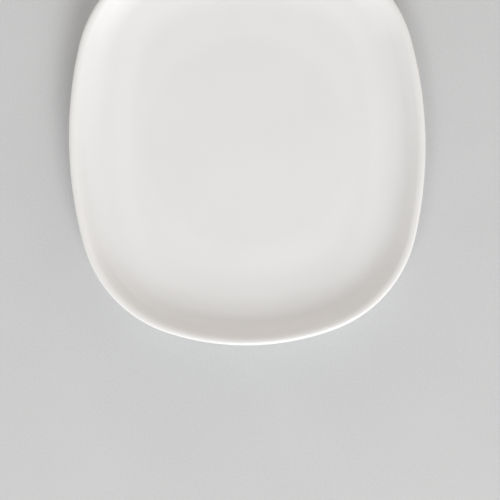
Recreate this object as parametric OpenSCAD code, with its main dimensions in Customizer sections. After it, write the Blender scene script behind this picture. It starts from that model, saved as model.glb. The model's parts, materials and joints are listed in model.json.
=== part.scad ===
// Side plate in white glazed porcelain: a shallow dish with a rounded, slightly oblong outline,
// a straight leaning side, a rounded rim, and a foot ring whose ground edge is left bare.
// Sizes are measured over the glaze. X runs across the plate, Y along it, Z up from the table.

/* [Outline] */
// Overall length, end to end
plate_length = 200; // [190:1:210]
// Overall width, side to side
plate_width = 175; // [168:1:182]
// Radius of the two bowed long sides
long_side_radius = 200; // [160:5:300]
// Radius of the two bowed ends
end_radius = 125; // [110:1:150]
// Radius of the four corners
corner_radius = 63; // [56:1:70]

/* [Side and floor] */
// Height of the rim above the table
plate_height = 20; // [18:0.5:26]
// Thickness of the side
wall_thickness = 3.8; // [3.2:0.1:5]
// Radius of the rim's outer lip, tighter than the crown on its inner side
lip_radius = 1.6; // [1:0.1:1.9]
// Slope of the straight part of the side, in degrees from level
side_slope = 50; // [40:1:60]
// Radius of the bend between the side and the floor
cove_radius = 15; // [10:1:22]
// Radius of the gentle sweep between that bend and the flat of the floor
sweep_radius = 100; // [70:5:130]
// Slope at which the sweep passes into the bend, in degrees from level
sweep_slope = 12; // [6:1:16]
// Thickness of the flat of the floor
floor_thickness = 4.2; // [3:0.1:6]

/* [Foot ring] */
// Distance from the outline in to the foot ring
foot_inset = 38; // [32:1:44]
// Width of the foot ring's clay
foot_width = 4; // [3.4:0.2:6]
// Height of the hollow inside the foot ring
foot_hollow = 3.6; // [2.8:0.1:4.6]
// Radius of the fillets between the foot ring and the underside
foot_fillet = 1; // [0.5:0.1:1.3]
// Rounding of the foot ring's two lower edges
foot_rounding = 1.6; // [0.8:0.1:1.8]
// Depth ground off the foot ring to make it sit flat
foot_grind = 0.5; // [0.3:0.1:1.2]
// Height of the bare band, wiped clean of glaze, around the foot ring
bare_height = 1.3; // [1.1:0.1:1.5]

/* [Glaze] */
// Thickness of the glaze
glaze_thickness = 0.3; // [0.15:0.05:0.6]

/* [Hidden] */

clay_white = [0.93, 0.92, 0.90];
glaze_white = [0.97, 0.97, 0.96];

// Steps in which each curve is drawn
side_steps = 10;
end_steps = 8;
corner_steps = 7;
sweep_steps = 3;
cove_steps = 5;
crown_steps = 4;
lip_steps = 6;
fillet_steps = 3;
rounding_steps = 4;

// Points of a section closer than this are one and the same
same_point = 0.001;

// Plan view: each corner arc is tangent to a side arc and an end arc, so its centre lies where
// the circles of centres of both meet.
side_centre = [plate_width / 2 - long_side_radius, 0];
end_centre = [0, plate_length / 2 - end_radius];
side_reach = long_side_radius - corner_radius;
end_reach = end_radius - corner_radius;
base_line = norm(end_centre - side_centre);
along = (end_centre - side_centre) / base_line;
across = [-along.y, along.x];
corner_along = (base_line ^ 2 + side_reach ^ 2 - end_reach ^ 2) / (2 * base_line);
corner_across = sqrt(side_reach ^ 2 - corner_along ^ 2);
corner_centre = side_centre + corner_along * along + corner_across * across;
side_turn = atan2(corner_centre.y - side_centre.y, corner_centre.x - side_centre.x);
end_turn = atan2(corner_centre.y - end_centre.y, corner_centre.x - end_centre.x);

// Half of the outline, which turned half round gives the other half. Each arc is
// [centre, radius, first angle, last angle, steps].
half_outline = [
    [side_centre, long_side_radius, -side_turn, side_turn, side_steps],
    [corner_centre, corner_radius, side_turn, end_turn, corner_steps],
    [end_centre, end_radius, end_turn, 180 - end_turn, end_steps],
    [[-corner_centre.x, corner_centre.y], corner_radius, 180 - end_turn, 180 - side_turn, corner_steps]
];

// Points of the outline, each [arc centre, arc radius, direction in which the outline faces]
outline = [
    for (half = [1, -1], arc = half_outline, i = [0 : arc[4] - 1])
        let (angle = arc[2] + (arc[3] - arc[2]) * i / arc[4])
            [half * arc[0], arc[1], half * [cos(angle), sin(angle)]]
];

// Section through the wall: stations of [inset from the outline, height], each with the direction
// in which the surface faces. The side's slope and the two bends fix how far in the floor begins.
floor_top = foot_hollow + floor_thickness;
side_facing = [sin(side_slope), cos(side_slope)];
sweep_facing = [sin(sweep_slope), cos(sweep_slope)];

// The rim's crown and lip meet level at the crest, and span the side's thickness between them
crown_radius = (wall_thickness - lip_radius * (1 + side_facing.y)) / (1 - side_facing.y);
crown_centre = [lip_radius, plate_height - crown_radius];
lip_centre = [lip_radius, plate_height - lip_radius];

bend_gap = sweep_radius - cove_radius;
cove_height = floor_top + sweep_radius - bend_gap * sweep_facing.y;
cove_reach = crown_centre * side_facing + crown_radius + cove_radius;
cove_centre = [(cove_reach - cove_height * side_facing.y) / side_facing.x, cove_height];
sweep_centre = cove_centre + bend_gap * sweep_facing;

// The outer fillet of the foot ring touches the underside where that still rises, or where it is flat
outer_sweep = sweep_radius + wall_thickness;
fillet_inset = foot_inset - foot_fillet;
fillet_lean = asin(max(sweep_centre.x - fillet_inset, 0) / (outer_sweep + foot_fillet));
fillet_height = sweep_centre.y - (outer_sweep + foot_fillet) * cos(fillet_lean);
foot_outer = foot_inset + glaze_thickness;
foot_inner = foot_outer + foot_width;
foot_back = foot_inner + glaze_thickness;

// Stations along an arc: a positive radius bulges out of the surface, a negative one is a hollow
function bend(centre, radius, first, last, steps) = [
    for (i = [0 : steps])
        let (angle = first + (last - first) * i / steps, facing = [cos(angle), sin(angle)])
            [centre + radius * facing, facing]
];

// Points of the surface itself, and of the clay that lies one glaze thickness below it
function surface_of(stations) = [for (s = stations) s[0]];
function clay_under(stations) = [for (s = stations) s[0] - glaze_thickness * s[1]];
function reverse(list) = [for (i = [len(list) - 1 : -1 : 0]) list[i]];

// Points of a section with the repeats taken out where one curve runs on into the next
function distinct(points) = [
    for (i = [0 : len(points) - 1])
        if (i == 0 || norm(points[i] - points[i - 1]) > same_point) points[i]
];

// Main coat, from the edge of the flat floor up the side, over the rim and down to the foot ring
coat = concat(
    bend(sweep_centre, -sweep_radius, 90, 90 - sweep_slope, sweep_steps),
    bend(cove_centre, -cove_radius, 90 - sweep_slope, 90 - side_slope, cove_steps),
    bend(crown_centre, crown_radius, 90 - side_slope, 90, crown_steps),
    bend(lip_centre, lip_radius, 90, 270 - side_slope, lip_steps),
    bend(cove_centre, cove_radius + wall_thickness, 270 - side_slope, 270 - sweep_slope, cove_steps),
    bend(sweep_centre, outer_sweep, 270 - sweep_slope, 270 - fillet_lean, sweep_steps),
    bend([fillet_inset, fillet_height], -foot_fillet, 270 - fillet_lean, 180, fillet_steps),
    [[[foot_inset, bare_height], [-1, 0]]]
);

// Bare edge of the foot ring, on the clay itself and before it is ground
bare_centre = foot_rounding - foot_grind;
bare = concat(
    bend([foot_outer + foot_rounding, bare_centre], foot_rounding, 180, 270, rounding_steps),
    bend([foot_inner - foot_rounding, bare_centre], foot_rounding, 270, 360, rounding_steps)
);

// Base coat, from the inside of the foot ring to the edge of the flat underside
base = concat(
    [[[foot_back, bare_height], [1, 0]]],
    bend([foot_back + foot_fillet, foot_hollow - foot_fillet], -foot_fillet, 360, 270, fillet_steps)
);

// One closed solid swept around the outline through a section's points, with a level face at each end
module sweep_round(section) {
    rings = distinct(section);
    n = len(outline);
    last = len(rings) - 1;
    points = [
        for (p = rings, o = outline)
            let (plan = o[0] + (o[1] - p.x) * o[2])
                [plan.x, plan.y, p.y]
    ];
    top = [for (j = [n - 1 : -1 : 0]) j];
    bottom = [for (j = [0 : n - 1]) last * n + j];
    walls = [
        for (i = [0 : last - 1], j = [0 : n - 1])
            let (k = (j + 1) % n)
                [i * n + j, i * n + k, (i + 1) * n + k, (i + 1) * n + j]
    ];
    polyhedron(points, concat([top], walls, [bottom]));
}

// What grinding takes off below the table plane
module ground_off() {
    translate([-plate_width / 2, -plate_length / 2, -2 * foot_grind])
        cube([plate_width, plate_length, 2 * foot_grind]);
}

// Fired clay body, with its foot ring ground flat
module porcelain_body() {
    color(clay_white)
        difference() {
            sweep_round(concat(clay_under(coat), surface_of(bare), clay_under(base)));
            ground_off();
        }
}

// Glaze over the floor, the side, the rim and the outside
module glaze_coat() {
    color(glaze_white)
        sweep_round(concat(surface_of(coat), reverse(clay_under(coat))));
}

// Glaze inside the foot ring
module base_glaze() {
    color(glaze_white)
        sweep_round(concat(reverse(clay_under(base)), surface_of(base)));
}

porcelain_body();
glaze_coat();
base_glaze();
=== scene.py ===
"""Looks of a white glazed porcelain side plate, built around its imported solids, in metres."""
import json
import math

import bpy
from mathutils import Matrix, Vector


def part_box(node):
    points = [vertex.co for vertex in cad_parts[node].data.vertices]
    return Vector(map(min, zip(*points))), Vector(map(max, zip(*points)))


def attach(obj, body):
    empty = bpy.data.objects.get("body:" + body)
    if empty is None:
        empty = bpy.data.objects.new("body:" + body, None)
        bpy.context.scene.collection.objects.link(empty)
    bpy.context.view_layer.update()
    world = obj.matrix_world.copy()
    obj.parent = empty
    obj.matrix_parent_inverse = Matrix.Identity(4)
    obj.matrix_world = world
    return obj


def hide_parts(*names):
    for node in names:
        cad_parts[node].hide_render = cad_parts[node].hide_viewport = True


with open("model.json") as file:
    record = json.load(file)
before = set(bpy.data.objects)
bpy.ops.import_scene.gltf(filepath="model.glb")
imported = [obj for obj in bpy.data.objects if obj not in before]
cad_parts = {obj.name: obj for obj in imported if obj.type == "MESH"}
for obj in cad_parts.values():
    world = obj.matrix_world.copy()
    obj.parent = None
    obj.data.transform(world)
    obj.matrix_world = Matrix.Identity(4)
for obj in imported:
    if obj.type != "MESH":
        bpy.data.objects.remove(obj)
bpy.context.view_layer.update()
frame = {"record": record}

# Sizes that the frame gives, all measured over the glaze
coat_low, coat_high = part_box("glaze_coat")
clay_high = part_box("porcelain_body")[1]
base_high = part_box("base_glaze")[1]
mounts = {mount["name"]: mount for mount in frame["record"]["mounts"]}
WIDTH = coat_high.x - coat_low.x
LENGTH = coat_high.y - coat_low.y
HEIGHT = coat_high.z
GLAZE = HEIGHT - clay_high.z
BARE_HEIGHT = coat_low.z
FOOT_HOLLOW = base_high.z - GLAZE
FLOOR_TOP = mounts["well_floor"]["pos_m"][2]

# Sizes of the outline, the side and the foot ring, as in the solids
LONG_SIDE_RADIUS = 0.200
END_RADIUS = 0.125
CORNER_RADIUS = 0.063
WALL = 0.0038
LIP_RADIUS = 0.0016
SIDE_SLOPE = math.radians(50)
COVE_RADIUS = 0.015
SWEEP_RADIUS = 0.100
SWEEP_SLOPE = math.radians(12)
FOOT_INSET = 0.038
FOOT_WIDTH = 0.004
FOOT_FILLET = 0.001
FOOT_ROUNDING = 0.0016
FOOT_GRIND = 0.0005
# Inset of the base coat's face, on the inside of the foot ring
FOOT_BACK = FOOT_INSET + FOOT_WIDTH + 2 * GLAZE

# Steps in which each curve is drawn
SIDE_STEPS = 44
END_STEPS = 40
CORNER_STEPS = 36
SWEEP_STEPS = 14
COVE_STEPS = 14
CROWN_STEPS = 10
LIP_STEPS = 14
FILLET_STEPS = 6
CAP_RINGS = 12

# Ways that the section's surface can face, where in is towards the plate's middle
UP = math.radians(90)
OUT = math.radians(180)
DOWN = math.radians(270)
IN = math.radians(360)


# Outline and section

def facing(angle):
    return Vector((math.cos(angle), math.sin(angle)))


def outline():
    """Points of the plan outline, each its arc's centre, its arc's radius and the way it faces."""
    side_centre = Vector((WIDTH / 2 - LONG_SIDE_RADIUS, 0))
    end_centre = Vector((0, LENGTH / 2 - END_RADIUS))
    side_reach = LONG_SIDE_RADIUS - CORNER_RADIUS
    end_reach = END_RADIUS - CORNER_RADIUS
    base_line = (end_centre - side_centre).length
    along = (end_centre - side_centre) / base_line
    across = Vector((-along.y, along.x))
    corner_along = (base_line ** 2 + side_reach ** 2 - end_reach ** 2) / (2 * base_line)
    corner_across = math.sqrt(side_reach ** 2 - corner_along ** 2)
    corner = side_centre + corner_along * along + corner_across * across
    side_turn = math.atan2(corner.y - side_centre.y, corner.x - side_centre.x)
    end_turn = math.atan2(corner.y - end_centre.y, corner.x - end_centre.x)
    far_corner = Vector((-corner.x, corner.y))
    half = [
        (side_centre, LONG_SIDE_RADIUS, -side_turn, side_turn, SIDE_STEPS),
        (corner, CORNER_RADIUS, side_turn, end_turn, CORNER_STEPS),
        (end_centre, END_RADIUS, end_turn, OUT - end_turn, END_STEPS),
        (far_corner, CORNER_RADIUS, OUT - end_turn, OUT - side_turn, CORNER_STEPS),
    ]
    points = []
    for sign in (1, -1):
        for centre, radius, first, last, steps in half:
            for i in range(steps):
                angle = first + (last - first) * i / steps
                points.append((sign * centre, radius, sign * facing(angle)))
    return points


def bend(centre, radius, first, last, steps):
    """Stations along an arc of the section: a negative radius is a hollow in the surface."""
    angles = [first + (last - first) * i / steps for i in range(steps + 1)]
    return [(centre + radius * facing(a), facing(a)) for a in angles]


def coat_stations():
    """The main coat, from the edge of the flat floor over the rim and down to the foot ring."""
    side_facing = Vector((math.sin(SIDE_SLOPE), math.cos(SIDE_SLOPE)))
    sweep_facing = Vector((math.sin(SWEEP_SLOPE), math.cos(SWEEP_SLOPE)))
    crown_radius = (WALL - LIP_RADIUS * (1 + side_facing.y)) / (1 - side_facing.y)
    crown = Vector((LIP_RADIUS, HEIGHT - crown_radius))
    lip = Vector((LIP_RADIUS, HEIGHT - LIP_RADIUS))
    bend_gap = SWEEP_RADIUS - COVE_RADIUS
    cove_height = FLOOR_TOP + SWEEP_RADIUS - bend_gap * sweep_facing.y
    cove_reach = crown.dot(side_facing) + crown_radius + COVE_RADIUS
    cove = Vector(((cove_reach - cove_height * side_facing.y) / side_facing.x, cove_height))
    sweep = cove + bend_gap * sweep_facing
    outer_sweep = SWEEP_RADIUS + WALL
    fillet_inset = FOOT_INSET - FOOT_FILLET
    lean = math.asin(max(sweep.x - fillet_inset, 0) / (outer_sweep + FOOT_FILLET))
    fillet = Vector((fillet_inset, sweep.y - (outer_sweep + FOOT_FILLET) * math.cos(lean)))
    return (
        bend(sweep, -SWEEP_RADIUS, UP, UP - SWEEP_SLOPE, SWEEP_STEPS)
        + bend(cove, -COVE_RADIUS, UP - SWEEP_SLOPE, UP - SIDE_SLOPE, COVE_STEPS)
        + bend(crown, crown_radius, UP - SIDE_SLOPE, UP, CROWN_STEPS)
        + bend(lip, LIP_RADIUS, UP, DOWN - SIDE_SLOPE, LIP_STEPS)
        + bend(cove, COVE_RADIUS + WALL, DOWN - SIDE_SLOPE, DOWN - SWEEP_SLOPE, COVE_STEPS)
        + bend(sweep, outer_sweep, DOWN - SWEEP_SLOPE, DOWN - lean, SWEEP_STEPS)
        + bend(fillet, -FOOT_FILLET, DOWN - lean, OUT, FILLET_STEPS)
    )


def bare_points():
    """The foot ring's bare edge, rounded and then ground flat at the table."""
    height = FOOT_ROUNDING - FOOT_GRIND
    ground = math.asin(height / FOOT_ROUNDING)
    outer = Vector((FOOT_INSET + GLAZE + FOOT_ROUNDING, height))
    inner = Vector((FOOT_INSET + GLAZE + FOOT_WIDTH - FOOT_ROUNDING, height))
    edge = bend(outer, FOOT_ROUNDING, OUT, OUT + ground, FILLET_STEPS)
    edge += bend(inner, FOOT_ROUNDING, IN - ground, IN, FILLET_STEPS)
    return surface_of(edge)


def base_stations():
    """The base coat, from the inside of the foot ring to the edge of the flat underside."""
    fillet = Vector((FOOT_BACK + FOOT_FILLET, FOOT_HOLLOW - FOOT_FILLET))
    return bend(fillet, -FOOT_FILLET, IN, DOWN, FILLET_STEPS)


def surface_of(stations):
    return [point for point, _ in stations]


def clay_under(stations):
    return [point - GLAZE * way for point, way in stations]


def glaze_edge(inset, way):
    """The glaze's rounded end on a wall of the foot ring, from its face in to the clay."""
    centre = Vector((inset - GLAZE * way, BARE_HEIGHT + GLAZE))
    turns = [UP * i / FILLET_STEPS for i in range(FILLET_STEPS + 1)]
    return [centre + GLAZE * Vector((way * math.cos(t), -math.sin(t))) for t in turns]


# Meshes

# Points of a section closer than this are one and the same
SAME_POINT = 1e-6
# Edges that turn by more than this stay sharp
SHARP_TURN = math.radians(38)


def distinct(points):
    """Points with the repeats taken out, where one curve runs on into the next."""
    kept = points[:1]
    for point in points[1:]:
        if (point - kept[-1]).length > SAME_POINT:
            kept.append(point)
    return kept


def sweep_round(name, section, material):
    """A closed piece swept round the outline through a section's points, capped level at both ends."""
    plan = outline()
    count = len(plan)
    rings = distinct(section)
    verts = []
    for point in rings:
        for centre, radius, way in plan:
            at = centre + (radius - point.x) * way
            verts.append((at.x, at.y, point.y))
    faces = []
    for i in range(len(rings) - 1):
        faces += strip(i * count, (i + 1) * count, count)
    cap(verts, faces, 0, count, True)
    cap(verts, faces, (len(rings) - 1) * count, count, False)
    mesh = bpy.data.meshes.new(name)
    mesh.from_pydata(verts, [], faces)
    mesh.validate()
    mesh.shade_smooth()
    mesh.set_sharp_from_angle(angle=SHARP_TURN)
    mesh.materials.append(material)
    piece = bpy.data.objects.new(name, mesh)
    bpy.context.scene.collection.objects.link(piece)
    return piece


def strip(upper, lower, count):
    """Faces between two rings of vertices, the upper one first along the section."""
    return [
        (upper + j, lower + j, lower + (j + 1) % count, upper + (j + 1) % count)
        for j in range(count)
    ]


def cap(verts, faces, ring, count, is_top):
    """Closes a ring with level rings that shrink to a point at the middle."""
    edge = [Vector(v) for v in verts[ring:ring + count]]
    outer = ring
    for k in range(1, CAP_RINGS):
        share = 1 - k / CAP_RINGS
        inner = len(verts)
        verts += [(v.x * share, v.y * share, v.z) for v in edge]
        faces += strip(inner, outer, count) if is_top else strip(outer, inner, count)
        outer = inner
    middle = len(verts)
    verts.append((0, 0, edge[0].z))
    for j in range(count):
        after = (j + 1) % count
        if is_top:
            faces.append((middle, outer + j, outer + after))
        else:
            faces.append((middle, outer + after, outer + j))


# Materials, whose patterns lie in the plate's own coordinates, in metres

def add_node(tree, kind, inputs, **settings):
    """A shader node, each of whose named inputs takes a value or a link from another node."""
    node = tree.nodes.new("ShaderNode" + kind)
    for name, value in settings.items():
        setattr(node, name, value)
    for name, value in inputs.items():
        if isinstance(value, bpy.types.NodeSocket):
            tree.links.new(value, node.inputs[name])
        else:
            node.inputs[name].default_value = value
    return node


def new_material(name, inputs):
    """A material, its node tree and its shader, with the inputs that are the same all over it."""
    material = bpy.data.materials.new(name)
    material.use_nodes = True
    tree = material.node_tree
    shader = tree.nodes["Principled BSDF"]
    for socket, value in inputs.items():
        shader.inputs[socket].default_value = value
    return material, tree, shader


# The values between which nearly all noise lies
NOISE_LOW = 0.3
NOISE_HIGH = 0.7


def noise(tree, place, per_metre, detail=3.0):
    """Even noise with so many lumps to the metre."""
    inputs = {"Vector": place, "Scale": per_metre, "Detail": detail}
    return add_node(tree, "TexNoise", inputs).outputs["Fac"]


def varied(tree, place, per_metre, to_low, to_high, detail=3.0):
    """A value that varies between two ends over the surface, with so many lumps to the metre."""
    return spread(tree, noise(tree, place, per_metre, detail), NOISE_LOW, NOISE_HIGH, to_low, to_high)


def spread(tree, value, low, high, to_low, to_high):
    """A value's range stretched over another range, and held inside that."""
    inputs = {"Value": value, "From Min": low, "From Max": high, "To Min": to_low, "To Max": to_high}
    return add_node(tree, "MapRange", inputs).outputs["Result"]


def shades(tree, factor, *stops):
    """Colours along a ramp, each stop its place from 0 to 1 and its colour."""
    ramp = add_node(tree, "ValToRGB", {"Fac": factor})
    marks = ramp.color_ramp.elements
    while len(marks) < len(stops):
        marks.new(0.5)
    for mark, (at, colour) in zip(marks, stops):
        mark.position = at
        mark.color = (*colour, 1)
    return ramp.outputs["Color"]


def maths(tree, operation, *values):
    """One operation on up to three values, each a number or a link."""
    return add_node(tree, "Math", dict(enumerate(values)), operation=operation).outputs["Value"]


def times(tree, first, second):
    """One colour or shade multiplied by another."""
    inputs = {0: first, 1: second}
    return add_node(tree, "VectorMath", inputs, operation="MULTIPLY").outputs["Vector"]


def away_from(tree, place, middle, scale):
    """The way from a middle point to a place, stretched along each axis."""
    inputs = {0: place, 1: middle}
    way = add_node(tree, "VectorMath", inputs, operation="SUBTRACT").outputs["Vector"]
    return times(tree, way, scale)


def length_of(tree, vector):
    """How long a vector is."""
    return add_node(tree, "VectorMath", {0: vector}, operation="LENGTH").outputs["Value"]


def specks(tree, place, per_metre, radius, share, shade):
    """A shade for scattered dark specks: 1 between them, and in this share of the cells a dot."""
    cells = add_node(tree, "TexVoronoi", {"Vector": place, "Scale": per_metre})
    edge = radius * per_metre
    dot = spread(tree, cells.outputs["Distance"], edge / 2, edge, 1, 0)
    chance = add_node(tree, "SeparateColor", {"Color": cells.outputs["Color"]}).outputs["Red"]
    inked = maths(tree, "MULTIPLY", dot, maths(tree, "LESS_THAN", chance, share))
    return spread(tree, inked, 0, 1, 1, shade)


def bump(tree, height, depth, below=None):
    """A surface normal from a height of 0 to 1 that stands for this depth in metres."""
    inputs = {"Height": height, "Strength": 1.0, "Distance": depth}
    if below:
        inputs["Normal"] = below
    return add_node(tree, "Bump", inputs).outputs["Normal"]


# The glaze's colour, by its share of the plate's height: warmest where it thins over the crest
GLAZE_SHADES = (
    (0.30, (0.872, 0.869, 0.861)),
    (0.50, (0.868, 0.866, 0.859)),
    (0.80, (0.872, 0.869, 0.861)),
    (0.93, (0.874, 0.870, 0.860)),
    (1.00, (0.868, 0.862, 0.850)),
)
# Painted shade on the round middle of the floor, deepening its dim reflection of the patch overhead:
# where its edge begins and ends, and its shade. Its height is stretched, so that it stays on the
# floor's upper face.
PAINTED_SHADE_START = 0.048
PAINTED_SHADE_END = 0.055
PAINTED_SHADE_LEVEL = 0.980
PAINTED_SHADE_STRETCH = Vector((1, 1, 20))
# Depth of the glaze's slow waves, and of the fine unevenness of its skin
WAVE_DEPTH = 0.00003
SKIN_DEPTH = 0.0000015


def glaze_material():
    """Clear glaze over white clay: glossy and faintly wavy, thin over the rim, with painted shade on the
    floor's round middle.
    """
    material, tree, shader = new_material("white_glaze", {"IOR": 1.52})
    place = add_node(tree, "TexCoord", {}).outputs["Object"]
    height = add_node(tree, "SeparateXYZ", {"Vector": place}).outputs["Z"]
    depth = shades(tree, spread(tree, height, 0, HEIGHT, 0, 1), *GLAZE_SHADES)
    cloud = varied(tree, place, per_metre=22, to_low=0.988, to_high=1.008)
    large = specks(tree, place, per_metre=24, radius=0.0007, share=0.55, shade=0.955)
    small = specks(tree, place, per_metre=70, radius=0.0003, share=0.35, shade=0.93)
    tone = times(tree, times(tree, times(tree, depth, cloud), large), small)
    # Painted shade: the floor's round middle is made a little darker, standing in for its reflection of the
    # dim patch overhead
    from_middle = away_from(tree, place, Vector((0, 0, FLOOR_TOP)), PAINTED_SHADE_STRETCH)
    painted_shade = spread(tree, length_of(tree, from_middle), PAINTED_SHADE_START, PAINTED_SHADE_END, PAINTED_SHADE_LEVEL, 1)
    tree.links.new(times(tree, tone, painted_shade), shader.inputs["Base Color"])
    polish = varied(tree, place, per_metre=45, to_low=0.035, to_high=0.065)
    tree.links.new(polish, shader.inputs["Roughness"])
    waves = bump(tree, noise(tree, place, per_metre=55, detail=1.0), WAVE_DEPTH)
    skin = bump(tree, noise(tree, place, per_metre=900, detail=2.0), SKIN_DEPTH, waves)
    tree.links.new(skin, shader.inputs["Normal"])
    return material


# The bare clay's colour, by its share of the bare band's height: grey with use at the table
CLAY_SHADES = (
    (0.05, (0.70, 0.675, 0.63)),
    (0.40, (0.79, 0.77, 0.735)),
)
# The noise values over which the clay's stains go from dark to light
STAIN_LOW = 0.35
STAIN_HIGH = 0.7
PIT_DEPTH = 0.00006


def clay_material():
    """Bare porcelain of the foot ring: dry, fine in the grain, greyed where it has stood on tables."""
    material, tree, shader = new_material("bare_porcelain", {"IOR": 1.45})
    place = add_node(tree, "TexCoord", {}).outputs["Object"]
    height = add_node(tree, "SeparateXYZ", {"Vector": place}).outputs["Z"]
    colour = shades(tree, spread(tree, height, 0, BARE_HEIGHT, 0, 1), *CLAY_SHADES)
    grain = varied(tree, place, per_metre=1800, to_low=0.95, to_high=1.03, detail=2.0)
    stain = spread(tree, noise(tree, place, per_metre=90), STAIN_LOW, STAIN_HIGH, 0.94, 1.02)
    tree.links.new(times(tree, times(tree, colour, grain), stain), shader.inputs["Base Color"])
    dryness = varied(tree, place, per_metre=400, to_low=0.62, to_high=0.82)
    tree.links.new(dryness, shader.inputs["Roughness"])
    pits = bump(tree, noise(tree, place, per_metre=1500, detail=4.0), PIT_DEPTH)
    tree.links.new(pits, shader.inputs["Normal"])
    return material


# The two greys between which the floor varies, at the noise values where they are reached
FLOOR_SHADES = (
    (NOISE_LOW, (0.642, 0.648, 0.653)),
    (NOISE_HIGH, (0.646, 0.652, 0.657)),
)


def floor_material():
    """Plain pale grey table top with a faint tooth."""
    material, tree, shader = new_material("pale_floor", {"Specular IOR Level": 0.2})
    place = add_node(tree, "TexCoord", {}).outputs["Object"]
    blotch = varied(tree, place, per_metre=14, to_low=0.985, to_high=1.012)
    tooth = varied(tree, place, per_metre=900, to_low=0.975, to_high=1.025, detail=2.0)
    grey = shades(tree, noise(tree, place, per_metre=30), *FLOOR_SHADES)
    tree.links.new(times(tree, times(tree, grey, blotch), tooth), shader.inputs["Base Color"])
    dryness = varied(tree, place, per_metre=200, to_low=0.82, to_high=0.95)
    tree.links.new(dryness, shader.inputs["Roughness"])
    return material


# Pieces

glaze = glaze_material()
clay = clay_material()
coat = coat_stations()
base = base_stations()

coat_section = surface_of(coat) + glaze_edge(FOOT_INSET, -1) + clay_under(coat)[::-1]
glaze_coat = sweep_round("plate_glaze", coat_section, glaze)
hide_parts("glaze_coat")
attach(glaze_coat, "root")

body_section = clay_under(coat) + bare_points() + clay_under(base)
body = sweep_round("plate_body", body_section, clay)
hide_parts("porcelain_body")
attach(body, "root")

base_section = clay_under(base)[::-1] + glaze_edge(FOOT_BACK, 1)[::-1] + surface_of(base)
base_glaze = sweep_round("plate_base_glaze", base_section, glaze)
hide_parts("base_glaze")
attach(base_glaze, "root")

# Stage: floor, light and camera

FLOOR_SIZE = 6.0

floor_mesh = bpy.data.meshes.new("floor")
half = FLOOR_SIZE / 2
floor_mesh.from_pydata(
    [(-half, -half, 0), (half, -half, 0), (half, half, 0), (-half, half, 0)], [], [(0, 1, 2, 3)]
)
floor_mesh.materials.append(floor_material())
floor = bpy.data.objects.new("floor", floor_mesh)
bpy.context.scene.collection.objects.link(floor)


def direction(azimuth, elevation):
    """The way from the plate to a place round it, with +X at azimuth 0 and +Y at 90 degrees."""
    a, e = math.radians(azimuth), math.radians(elevation)
    return Vector((math.cos(a) * math.cos(e), math.sin(a) * math.cos(e), math.sin(e)))


LAMP_DISTANCE = 3.2


def softbox(name, azimuth, elevation, size, level):
    """A square soft light that faces the plate; level is the brightness it gives a white card facing it."""
    lamp = bpy.data.lights.new(name, "AREA")
    lamp.shape = "SQUARE"
    lamp.size = size
    lamp.energy = level * math.pi ** 2 * LAMP_DISTANCE ** 2
    lamp_object = bpy.data.objects.new(name, lamp)
    away = direction(azimuth, elevation)
    lamp_object.location = LAMP_DISTANCE * away
    lamp_object.rotation_euler = (-away).to_track_quat("-Z", "Y").to_euler()
    bpy.context.scene.collection.objects.link(lamp_object)
    return lamp_object


softbox("front_low", azimuth=276, elevation=21, size=1.5, level=0.235)
softbox("front", azimuth=284, elevation=34, size=1.5, level=0.225)
softbox("front_right", azimuth=289, elevation=46, size=1.4, level=0.255)
left_lamp = softbox("left", azimuth=233, elevation=60, size=1.0, level=0.15)
left_lamp.visible_glossy = False

# The room's light: low down on its four walls, and higher up at both sides
WALL_FRONT = 0.46
WALL_BACK = 1.65
WALL_RIGHT = 0.84
WALL_LEFT = 0.48
HIGH_RIGHT = 1.03
HIGH_LEFT = 0.95
# How fast the walls' light falls off with height
WALL_POWER = 2.0
PLAIN_FRONT = (1, 1, 1)
WARM_BACK = (1.0, 0.89, 0.81)
# A dim rounded oblong overhead, which keeps this share of the light from high up: its middle and
# half its size, as slopes from straight up, and where its edge begins and ends, in half sizes
PATCH_MIDDLE = Vector((math.radians(-1.5), math.radians(4.0), 1))
PATCH_REACH = Vector((math.radians(5.1), math.radians(4.4), 0))
PATCH_LEVEL = 0.35
PATCH_START = 0.94
PATCH_END = 1.02
# The paler stretch of ceiling round it, and where that fades out, in half sizes of the oblong
CEILING_LEVEL = 0.5
CEILING_START = 2.0
CEILING_END = 3.2


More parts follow.
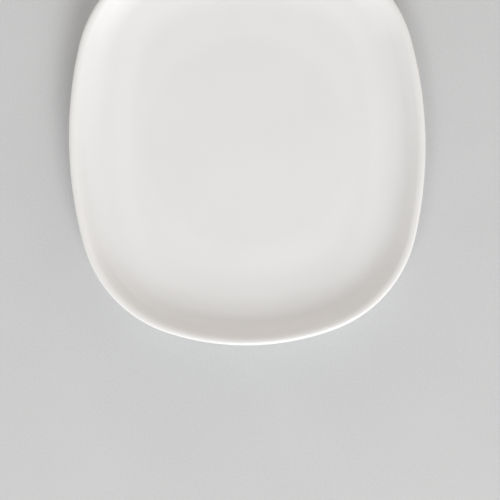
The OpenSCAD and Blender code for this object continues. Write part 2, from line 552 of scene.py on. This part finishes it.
def studio_sky():
    """Pale walls all round, the one at the back brightest and warm, with a dim patch overhead."""
    world = bpy.data.worlds.new("studio")
    bpy.context.scene.world = world
    world.use_nodes = True
    tree = world.node_tree
    way = add_node(tree, "TexCoord", {}).outputs["Generated"]
    axes = add_node(tree, "SeparateXYZ", {"Vector": way}).outputs
    height = axes["Z"]

    def towards(axis, side, level):
        """Light that grows from none in the middle to this level at one side of the room."""
        return spread(tree, axes[axis], 0, side, 0, level)

    ends = maths(tree, "ADD", towards("Y", 1, WALL_BACK), towards("Y", -1, WALL_FRONT))
    sides = maths(tree, "ADD", towards("X", 1, WALL_RIGHT), towards("X", -1, WALL_LEFT))
    low = maths(tree, "POWER", spread(tree, height, 0, 1, 1, 0), WALL_POWER)
    walls = maths(tree, "MULTIPLY", maths(tree, "ADD", ends, sides), low)
    high = maths(tree, "ADD", towards("X", 1, HIGH_RIGHT), towards("X", -1, HIGH_LEFT))
    high = maths(tree, "MULTIPLY", high, spread(tree, height, 0, 1, 0, 1))

    aside = away_from(tree, way, PATCH_MIDDLE, Vector((1 / PATCH_REACH.x, 1 / PATCH_REACH.y, 0)))
    reach = maths(tree, "SQRT", length_of(tree, times(tree, aside, aside)))
    ceiling = spread(tree, reach, CEILING_START, CEILING_END, CEILING_LEVEL, 0)
    patch = spread(tree, reach, PATCH_START, PATCH_END, PATCH_LEVEL, 1)

    strength = maths(tree, "MULTIPLY_ADD", maths(tree, "ADD", high, ceiling), patch, walls)
    colour = shades(tree, axes["Y"], (0.0, PLAIN_FRONT), (1.0, WARM_BACK))
    background = tree.nodes["Background"]
    tree.links.new(colour, background.inputs["Color"])
    tree.links.new(strength, background.inputs["Strength"])


studio_sky()

# Camera straight above, as in the photograph, whose frame is 500 px square
PHOTO_PX = 500
PX_PER_M = 2043
PLATE_MIDDLE_PX = Vector((247.2, 141.3))
ROLL = math.radians(1.31)
CAMERA_ABOVE_RIM = 0.75

camera_data = bpy.data.cameras.new("camera")
camera = bpy.data.objects.new("camera", camera_data)
bpy.context.scene.collection.objects.link(camera)
bpy.context.scene.camera = camera
field = PHOTO_PX / PX_PER_M
camera_data.lens = camera_data.sensor_width * CAMERA_ABOVE_RIM / field
offset = (Vector((PHOTO_PX / 2, PHOTO_PX / 2)) - PLATE_MIDDLE_PX) / PX_PER_M
right = Vector((math.cos(ROLL), -math.sin(ROLL)))
up = Vector((math.sin(ROLL), math.cos(ROLL)))
below = offset.x * right - offset.y * up
camera.location = (below.x, below.y, HEIGHT + CAMERA_ABOVE_RIM)
camera.rotation_euler = (0, 0, -ROLL)

bpy.context.scene.view_settings.view_transform = "Standard"
